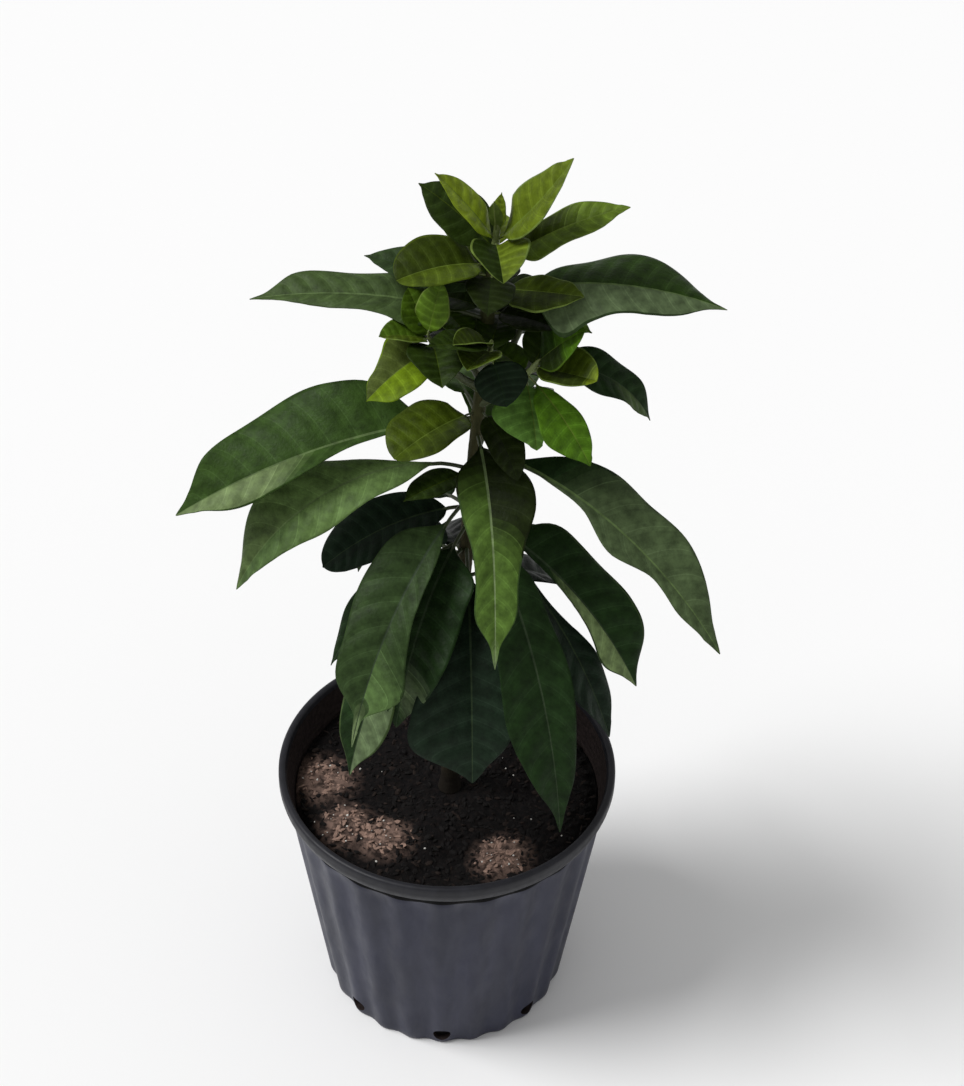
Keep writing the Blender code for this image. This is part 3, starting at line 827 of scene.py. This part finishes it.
def leaf(height, heading, rise, dip, reach, width, style, roll=0, sway=0, fold=16, stalk=0.13, wave=1.6,
         tail=0.02, before=0.62, after=0.8, edges=None, patches=(), byRule=False):
    # in millimetres: height up the trunk or up the twig, reach of stalk and blade, width and wave
    # rise and dip: pitch at root and tip; before and after: how the width grows and shrinks
    # edges: half widths in percent at five places, on the left (-1) and on the right (1)
    # patches of painted light and painted shade: (half or 0 for both, from, to, colour)
    height, reach, width, wave = height / 1000, reach / 1000, width / 1000, wave / 1000
    return SimpleNamespace(**locals())


def sprout(seed, count, heights, start, dips, reach, width, style, rise, spread=137.5, stalk=0.13):
    # leaves by rule: each one stands spread degrees further round than the last
    dice = random.Random(seed)
    made = []
    for i in range(count):
        share = i / max(1, count - 1)
        size = dice.uniform(0.9, 1.08)
        height = heights[0] + (heights[1] - heights[0]) * share
        heading = start + spread * i + dice.uniform(-6, 6)
        dip = dips[0] + (dips[1] - dips[0]) * share + dice.uniform(-5, 5)
        shape = height, heading, rise + dice.uniform(-6, 6), dip, reach * size, width * size, style
        made.append(leaf(*shape, roll=dice.uniform(-8, 8), stalk=stalk, tail=0.05, byRule=True))
    return made


lowerFront = [
    leaf(505, 58, 0, -60, 186, 56, "paleGreen deepRib deepGreen dullGreen", roll=15, wave=3,
         edges=((15, 20, 32, 48, 60), (90, 110, 115, 110, 90)), patches=((-1, 0, 0.35, "deepGreen"),)),
    leaf(500, 49, -12, -67, 202, 54, "deepBlue", wave=3,
         edges=((80, 100, 100, 90, 60), (10, 14, 34, 60, 60))),
    leaf(512, 27, -5, -78, 266, 62, "deep", tail=0.05, sway=-7, wave=3,
         edges=((70, 95, 105, 100, 65), (60, 70, 75, 70, 50))),
    leaf(475, 4, -10, -75, 188, 92, "deepBlue", wave=2,
         edges=((45, 65, 85, 105, 95), (40, 60, 70, 75, 55))),
    leaf(522, -32, -2, -72, 216, 64, "dull", roll=-10, wave=4, tail=0.14,
         edges=((80, 100, 105, 90, 70), (30, 45, 55, 70, 90)),
         patches=((1, 0.6, 0.86, "freshPale"), (0, 0.86, 1, "paleTip"))),
    leaf(496, -25, -6, -74, 170, 66, "deep", wave=3, edges=((80, 90, 90, 80, 60), (90, 100, 100, 90, 60)),
         patches=((1, 0.7, 0.86, "greyPale"),)),
    leaf(474, -38, -9, -76, 206, 50, "deepGreen deepRib greyPale greyGreen", roll=-4, tail=0.03, wave=3,
         edges=((70, 90, 100, 90, 60), (40, 55, 75, 105, 80))),
    leaf(512, -73, 10, -40, 120, 52, "deepBlue", roll=-20, tail=0.01, after=0.6),
    leaf(480, -66, -10, -64, 148, 36, "deep", tail=0.05, roll=-15, wave=3),
]
middleFront = [
    leaf(594, -77, 6, -31, 230, 74, "midDeep paleRib paleGreen midDeep", roll=-25, fold=14, wave=6,
         tail=0.03, edges=((95, 120, 126, 110, 72), (10, 20, 48, 55, 45)),
         patches=((1, 0, 0.5, "midDeep"),)),
    leaf(547, -70, 36, -66, 218, 66, "midLit paleRib mildGreen mildGreen", roll=-20, fold=8, wave=4,
         tail=0.03, edges=((15, 55, 100, 95, 60), (50, 72, 78, 62, 42)),
         patches=((0, 0, 0.6, "midBright"),)),
    leaf(567, 57, 12, -52, 241, 62, "greyWarm paleRib", roll=18, fold=10, wave=4, tail=0.03, stalk=0.11,
         edges=((10, 20, 70, 25, 30), (62, 110, 100, 95, 60)), patches=((1, 0, 0.24, "deepGreen"),)),
    leaf(582, 13, -14, -70, 178, 58, "litGreen paleTip litGreen midGreen", sway=-12, wave=2, tail=0.09,
         edges=((80, 75, 55, 50, 50), (95, 115, 85, 60, 50)), stalk=0.06,
         patches=((-1, 0, 0.16, "shadeGreen"), (1, 0, 0.4, "shadeGreen"), (0, 0.92, 1, "paleTip"))),
    leaf(600, -52, 12, -24, 74, 58, "olive", fold=22, tail=0.0, before=0.5, after=0.5),
    leaf(546, -50, 10, -5, 62, 30, "darkTop", tail=0.05),
    leaf(602, 33, 6, -60, 62, 30, "shade", tail=0.0),
]
upperFront = [
    leaf(680, -96, 19, -15, 168, 44, "greyGreen paleRib", tail=0.05, roll=-12, fold=12, wave=3,
         edges=((110, 100, 100, 95, 70), (120, 105, 80, 55, 30))),
    leaf(688, -108, 15, -5, 46, 38, "darkTop", tail=0.05),
]
neckFront = [
    leaf(699, 88, 24, -21, 165, 55, "greyPale paleRib deepFresh dullGreen", tail=0.05, roll=14, fold=-10,
         wave=3, edges=((130, 110, 85, 65, 45), (70, 115, 145, 135, 85))),
    leaf(700, -104, 20, 2, 90, 34, "dull", tail=0.05, roll=-20),
    leaf(722, 92, 46, 14, 102, 36, "freshMid youngRib oliveShade paleRim", roll=20,
         edges=((90, 100, 95, 80, 55), (55, 75, 80, 75, 50)), patches=((1, 0.5, 1, "freshMid"),)),
    leaf(724, -66, 25, -14, 70, 54, "oliveShade youngRib oliveLit oliveLit", roll=-10, fold=24, tail=0.0,
         before=0.5, after=0.5),
    leaf(705, 72, 13, 3, 65, 45, "oliveRim", roll=12, fold=14,
         edges=((80, 100, 102, 92, 62), (48, 60, 64, 58, 42))),
    leaf(686, 70, 12, -12, 50, 40, "shade"),
    leaf(700, 92, 16, 2, 42, 32, "darkTop"),
    leaf(702, -160, 30, 12, 50, 34, "darkTop"),
]
topFront = [
    leaf(11, -76, 60, 48, 70, 28, "yellowLit paleRim", tail=0.05, roll=-30, stalk=0.06),
    leaf(4, -112, 46, 24, 68, 38, "darkTop", tail=0.05, roll=-30, stalk=0.06),
    leaf(11, 70, 46, 62, 90, 36, "young", roll=40, stalk=0.06,
         edges=((80, 95, 90, 70, 50), (90, 110, 105, 80, 55))),
    leaf(10, 8, 10, -22, 43, 50, "darkOlive youngRib youngGreen paleRim", fold=38, stalk=0.08, tail=0.0),
    leaf(18, 150, 75, 82, 28, 12, "young", tail=0.05, stalk=0.05),
    leaf(20, -20, 70, 80, 26, 11, "young", tail=0.05, stalk=0.05),
]
sprig = partial(leaf, stalk=0.08)
leftTuft = [
    sprig(3, -50, 5, -34, 64, 54, "oliveWarm youngRib yellowGreen yellowGreen", roll=-10, fold=24,
          tail=0.0, edges=((75, 90, 66, 44, 32), (75, 95, 100, 94, 74))),
    sprig(13, -72, 30, 2, 38, 34, "freshGreen youngRib olive paleRim", fold=24),
    sprig(14, -142, 52, 44, 38, 32, "fresh"),
    sprig(18, 148, 68, 60, 38, 28, "freshBright youngRib freshBright paleRim"),
    sprig(10, 10, 18, -22, 50, 46, "darkTop", fold=28),
]
rightTuft = [
    sprig(12, 60, 12, 4, 50, 42, "oliveRim", roll=15, fold=30, tail=0.0, after=0.6,
          patches=((0, 0.88, 1, "yellowLit"),)),
    sprig(15, 80, 56, 36, 47, 44, "darkOlive youngRib freshLit freshGreen", roll=24,
          patches=((1, 0, 0.42, "deepFresh"), (-1, 0.5, 1, "freshLit"))),
    leaf(5, 90, 30, -67, 107, 36, "deep", tail=0.05, roll=20, wave=3,
         patches=((-1, 0.55, 1, "greyGreen"),)),
    leaf(2, 42, -12, -46, 80, 44, "freshLit", edges=((60, 95, 115, 115, 75), (35, 50, 60, 60, 40))),
    leaf(0, 14, -24, -60, 54, 50, "tealGreen youngRib",
         edges=((80, 115, 120, 90, 45), (40, 50, 50, 40, 25))),
    sprig(8, 146, 44, 20, 50, 34, "darkTop"),
]
frontTuft = [
    sprig(6, -26, 18, 0, 35, 36, "oliveRim", fold=30),
    sprig(14, -50, 34, 14, 36, 28, "oliveRim", fold=34),
    leaf(0, 30, -30, -62, 38, 42, "shadeBlue deepGreen", stalk=0.16),
]
# short leaves close to the stem that fill the inside of the crown, in dark greens painted for the shade
# there
innerUpper = sprout(43, 9, (635, 684), 120, (-45, -25), 72, 42, "shade", 6, 29)
innerNeck = sprout(35, 15, (676, 719), -12, (-30, -5), 54, 34, "shade", 12, 78)


def grow(on, slot, *groups):
    return {"on": on, "slot": slot, "leaves": sum(groups, [])}


masses = {
    "lower_leaves": grow("trunk", "old_leaf", lowerFront, sprout(
        4, 3, (479, 509), 112, (-66, -74), 185, 56, "deep", 2, 53)),
    "lowest_leaves": grow("trunk", "old_leaf", sprout(
        14, 5, (441, 461), 116, (-72, -64), 160, 54, "deepBlue", 0, 27)),
    "middle_leaves": grow("trunk", "mid_leaf", middleFront, sprout(
        5, 4, (552, 594), 162, (-56, -44), 205, 62, "midGreen paleRib", 14, 14)),
    "upper_leaves": grow("trunk", "mid_leaf", upperFront, sprout(
        7, 3, (652, 682), 164, (-50, -30), 125, 44, "dull", 8, 24), innerUpper),
    "neck_leaves": grow("trunk", "young_leaf", neckFront, sprout(
        9, 3, (700, 718), 154, (-36, -10), 88, 36, "olive", 18, 26), innerNeck),
    "top_leaves": grow("top", "young_leaf", topFront, sprout(
        11, 1, (6, 6), 178, (-18, -18), 52, 24, "young", 12, stalk=0.06)),
}
tufts = {"left": leftTuft, "right": rightTuft, "front": frontTuft, "back_left": [], "back_right": []}
for name, front in tufts.items():
    more = sprout(
        len(name), 2 if front else 5, (2, 15), shoots[name].heading + 160, (-20, 10), 48, 30,
        "darkTop" if name == "front" else "fresh", 18, stalk=0.08,
    )
    masses[name + "_tuft"] = grow(name, "young_leaf", front, more)

blade = {
    "stations": 64,
    "bigReach": 0.1,
    "veinPairs": (9, 6),
    "columns": (8, 6),
    "leastHalf": (0.0012, 0.0007),
    "stalkThick": (0.0015, 0.00085),
    "stalkSides": 10,
    "rowsBetween": 4,
    "rowsAtTip": 8,
    "veinSweep": 0.13,
    "veinWidth": 0.0008,
    "midribWidth": 0.0022,
    "groove": 0.0001,
    "quilt": 0.0014,
    "curl": 0.1,
    "wobble": 0.03,
    "fullReach": 0.16,  # shorter leaves have finer ribs and ripples
    "patchSoft": 0.16,
    "thickness": 0.0005,
    "rimFrom": 0.93,
    "stalkColours": {"stalkOld": (0.042, 0.056, 0.018), "stalkYoung": (0.1, 0.13, 0.028)},
}


def bySize(made, key):
    # the first value of a pair for a big leaf, the second for a small one
    return blade[key][made.reach <= blade["bigReach"]]


def throughPoints(values, share):
    # a smooth curve through evenly spaced values that starts and ends at 0
    values = np.array([0.0, *values, 0.0])
    spot = np.clip(share, 0, 1) * (len(values) - 1)
    i = np.clip(spot.astype(int), 0, len(values) - 2)
    f = spot - i
    before = values[np.maximum(i - 1, 0)]
    after = values[np.minimum(i + 2, len(values) - 1)]
    here, there = values[i], values[i + 1]
    bend = f * (2 * before - 5 * here + 4 * there - after + f * (3 * (here - there) + after - before))
    return np.maximum(0, here + 0.5 * f * (there - before + bend))


def leafOutline(share, made, side):
    # half width along one side (-1 or 1) of the blade, which ends in a narrow tail
    share = np.asarray(share, float)
    before, after, tail = made.before, made.after, made.tail
    body = np.clip(share / (1 - 0.8 * tail), 0, 1)
    if made.edges:
        low, high = np.array(made.edges) / 100
        plain = np.where(side < 0, throughPoints(low, body), throughPoints(high, body))
    else:
        widest = before / (before + after)
        plain = (body / widest) ** before * ((1 - body) / (1 - widest)) ** after
    if not tail:
        return plain
    thin = 0.13 * np.clip((1 - share) / (tail + 0.02), 0, 1.5) ** 0.8 * (share > 0.5)
    return (plain**3 + thin**3) ** (1 / 3)


def leafLine(root, made):
    # the midrib: for each share of the reach its place, the way sideways and the way up
    def wayAt(share):
        pitch = made.rise + (made.dip - made.rise) * share**0.8
        return direction(made.heading + made.sway * share, pitch)

    shares = np.linspace(0, 1, blade["stations"])
    places, sides, ups = [], [], []
    point = Vector(root)
    last = 0.0
    for share in shares:
        point = point + wayAt((share + last) / 2) * made.reach * (share - last)
        side = direction(made.heading + made.sway * share + 90, 0)
        up = wayAt(share).cross(side)
        turn = radians(made.roll * min(1.0, share / 0.3))
        places.append(point.copy())
        sides.append(side * cos(turn) + up * sin(turn))
        ups.append(up * cos(turn) - side * sin(turn))
        last = share
    return shares, np.array(places), np.array(sides), np.array(ups)


def along(shares, values, at):
    # the points or directions at these shares of the reach
    return np.stack([np.interp(at, shares, values[:, k]) for k in range(3)], axis=-1)


def leafRows(pairs, bladeLength):
    # rows across the blade, two close together for each vein; and which strips between rows are veins
    half = blade["veinWidth"] / 2 / bladeLength
    centres = [(k + 0.75) / (pairs + 0.9) for k in range(pairs)]
    rows = [0.0]
    strips = []
    for centre in centres:
        inner = np.linspace(rows[-1], centre - half, blade["rowsBetween"] + 2)[1:]
        rows += [*inner, centre + half]
        strips += ["plain"] * len(inner) + ["vein"]
    rows += list(np.linspace(rows[-1], 1.0, blade["rowsAtTip"] + 1)[1:])
    strips += ["plain"] * blade["rowsAtTip"]
    for i, strip in enumerate(strips):
        if strip == "plain" and "vein" in strips[max(0, i - 1):i + 2]:
            strips[i] = "near"
    return np.array(rows), strips, centres


def quiltHeight(rows, centres):
    # the blade swells between one vein and the next
    knots = np.array([0.0] + centres + [1.0])
    index = np.clip(np.searchsorted(knots, rows, side="right") - 1, 0, len(knots) - 2)
    share = (rows - knots[index]) / (knots[index + 1] - knots[index])
    return np.sin(pi * share) ** 1.2


def patchAt(made, row, side):
    # the patch of painted light and shade that takes over at this row of this half: its colour, and how far
    found, most = "", 0.0
    soft = blade["patchSoft"]
    for where, start, end, other in made.patches:
        fromStart = (row - start) / soft + 0.5 if start > 0 else 1.0
        toEnd = (end - row) / soft + 0.5 if end < 1 else 1.0
        share = min(1.0, max(0.0, min(fromStart, toEnd)))
        if where in (0, side) and share > 0:
            found, most = other, share
    return found, most


def rimPaint(name):
    return name if name in plainColours else bladePaint(name)


def leafBlade(root, made, seed):
    # points, faces and the paint of each face
    rows, strips, centres = leafRows(bySize(made, "veinPairs"), made.reach * (1 - made.stalk))
    shares, places, sides, ups = leafLine(root, made)
    scale = min(1.0, made.reach / blade["fullReach"])
    outward = np.array([*np.linspace(0, blade["rimFrom"], bySize(made, "columns") + 1), 1.0])
    u = np.concatenate([-outward[::-1], [0.0], outward])  # the columns beside 0 are the midrib's edges
    centre = len(outward)
    left, rib, right, rim = styleOf(made)
    rib = rimPaint(rib)
    dice = random.Random(seed)
    sweepLeft, sweepRight = [blade["veinSweep"] * dice.uniform(0.85, 1.2) for _ in range(2)]
    phase = dice.uniform(0, 2 * pi)
    waves = dice.uniform(1.5, 2.3)
    r = rows[:, None]
    absU = np.abs(u)[None, :]
    signU = np.concatenate([-np.ones(centre), [0.0], np.ones(centre)])[None, :]
    lean = np.where(signU < 0, sweepLeft, sweepRight) * (0.65 * absU + 0.35 * absU**3)
    s = np.clip(r + lean * 3.6 * r * (1 - r), 0, 1)
    outline = leafOutline(s, made, signU)
    wobble = 1 + blade["wobble"] * np.sin(2 * pi * (2.1 * s + signU * 0.17) + phase)
    least = np.where(s < 0.5, bySize(made, "leastHalf"), 0.00025)
    half = np.maximum(made.width / 2 * outline * wobble, least)
    ribShare = np.minimum(0.4, blade["midribWidth"] * scale * (1.05 - 0.8 * s) / 2 / half)
    reachU = ribShare + (1 - ribShare) * absU
    reachU[:, centre] = 0.0
    across = signU * reachU
    at = made.stalk + (1 - made.stalk) * s
    place, side, up = along(shares, places, at), along(shares, sides, at), along(shares, ups, at)
    fold = radians(made.fold) * np.minimum(1, s / 0.08)
    soft = np.sqrt(reachU**2 + 0.06**2) - 0.06
    full = np.minimum(1, outline * 1.4)  # ripples die out where the blade is narrow
    lift = half * np.sin(fold) * soft - blade["curl"] * half * reachU**2
    ripple = np.sin(2 * pi * waves * s + phase + np.where(signU < 0, 2.0, 0.0))
    lift += made.wave * scale * ripple * reachU**2 * full
    swell = quiltHeight(rows, centres)[:, None] * np.sin(pi * np.clip(absU, 0.03, 1)) ** 0.7
    lift += blade["quilt"] * scale * swell * full
    lift[:, centre] = -blade["groove"] * scale
    points = place + side * (across * half * np.cos(fold))[..., None] + up * lift[..., None]
    faces, paints = [], []
    for i, strip in enumerate(strips):
        for j in range(u.size - 1):
            corner = i * u.size + j
            faces.append((corner, corner + u.size, corner + u.size + 1, corner + 1))
            tint = left if j < centre else right
            if j in (centre - 1, centre):
                paints.append(rib)
                continue
            other, share = patchAt(made, rows[i], -1 if j < centre else 1)
            if j in (0, u.size - 2):
                paints.append(bladePaint(other) if share > 0.5 else rimPaint(rim))
            else:
                paints.append(bladePaint(tint, other, share, strip))
    return [Vector(p) for p in points.reshape(-1, 3)], faces, paints


def leafStalk(root, made):
    # the stalk, which goes on under the blade as a tapering rib
    shares, places, _, ups = leafLine(root, made)
    stalk = made.stalk
    at = np.concatenate([np.linspace(0, stalk, 10), np.linspace(stalk, 0.93, 34)[1:]])
    place, up = along(shares, places, at), along(shares, ups, at)
    taper = np.interp(at, [0, stalk * 0.25, stalk, 0.95], [1.45, 1.0, 0.95, 0.22])
    radii = bySize(made, "stalkThick") * taper
    sink = np.interp(at, [stalk * 0.9, stalk * 1.3, 1], [0, 1, 1])
    sunk = place - up * ((radii + blade["thickness"] * 0.4 + blade["groove"]) * sink)[:, None]
    return sweep([Vector(p) for p in sunk], list(radii), blade["stalkSides"])


def leafRoots(mass):
    # each leaf with the point where its stalk starts
    if mass["on"] != "trunk":
        foot, way = twigLine(mass["on"])[:2]
        return [(foot + way * made.height, made) for made in mass["leaves"]]
    rooted = []
    for made in mass["leaves"]:
        inside = direction(made.heading, 0) * trunkRadius(made.height) * 0.5
        rooted.append((trunkPoint(made.height) + inside, made))
    return rooted


def twigLine(on):
    # start, direction, length and radius of the twig a mass grows from
    if on == "top":
        tip = trunkPoint(trunk["tip"])
        way = (tip - trunkPoint(trunk["tip"] - 0.02)).normalized()
        return tip + way * gap, way, *trunk["topTwig"]
    made = shoots[on]
    way = direction(made.heading, made.tipPitch)
    return shootLine(made, 7)[-1] + way * gap, way, made.twig, made.tipRadius


def makeFoliage():
    for name, colour in blade["stalkColours"].items():
        paint(name, colour, rough=0.5, grain=0.15)
    heaps = {name: Heap() for name in masses}
    stalks = Heap()
    placed = []
    growing = [(name, root, made) for name, mass in masses.items() for root, made in leafRoots(mass)]
    growing.sort(key=lambda grown: grown[2].byRule)  # the ones by rule come last and give way
    leftOut = 0
    for seed, (name, root, made) in enumerate(growing):
        points, faces, paints = leafBlade(root, made, seed + 100)
        tree = BVHTree.FromPolygons(points, faces)
        if made.byRule and any(tree.overlap(other) for other in placed):
            leftOut += 1
            continue
        placed.append(tree)
        heaps[name].add(points, faces, paints)
        tube, tubeFaces = leafStalk(root, made)
        stalks.add(tube, tubeFaces, "stalkYoung" if masses[name]["slot"] == "young_leaf" else "stalkOld")
    print(f"{len(placed)} leaves grown, {leftOut} left out because they would touch others")
    for name, heap in heaps.items():
        pieceName, slot = name.replace("_", "-"), masses[name]["slot"]
        piece = heapPiece(pieceName, heap, slot, [name], underside=undersideOf)
        shell = piece.modifiers.new("thickness", "SOLIDIFY")
        shell.thickness = blade["thickness"]
        shell.offset = -1
        shell.material_offset = len(piece.data.materials) // 2
        shell.material_offset_rim = 0
    heapPiece("leaf-stalks", stalks, "green_wood")


twig = {
    "rings": 24,
    "sides": 16,
    "bud": 0.004,
    "shares": (0, 0.6, 0.8, 0.9, 1),  # of the length, and of the radius there
    "radii": (1, 0.85, 0.75, 0.5, 0.06),
    "green": (0.13, 0.165, 0.05),
}


def makeTwigs():
    # the growing ends under the tufts, each closed by a pointed bud
    paint("budGreen", twig["green"], rough=0.5, grain=0.2)
    heap = Heap()
    for on in ["top"] + list(shoots):
        start, way, length, radius = twigLine(on)
        shares = np.linspace(0, 1, twig["rings"])
        points = [start + way * (length + twig["bud"]) * share for share in shares]
        radii = radius * np.interp(shares, twig["shares"], twig["radii"])
        tube, faces = sweep(points, radii, twig["sides"], lambda i, a: 0.0002 * cos(3 * a + i))
        heap.add(tube, faces, "budGreen")
    heapPiece("twigs-and-buds", heap, "green_wood")


makeCamera()
makeLeafPaints()
makeStudio()
print("camera, floor and light are set")
makePot()
print("pot is made")
makeSoil()
print("potting mix is made")
makeTrunk()
makeShoots()
makeTwigs()
print("trunk and shoots are made")
makeFoliage()
print("leaves are made")

boxes = {"cad": [list(corner) for corner in cadBox], "visual": [list(corner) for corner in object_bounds()]}
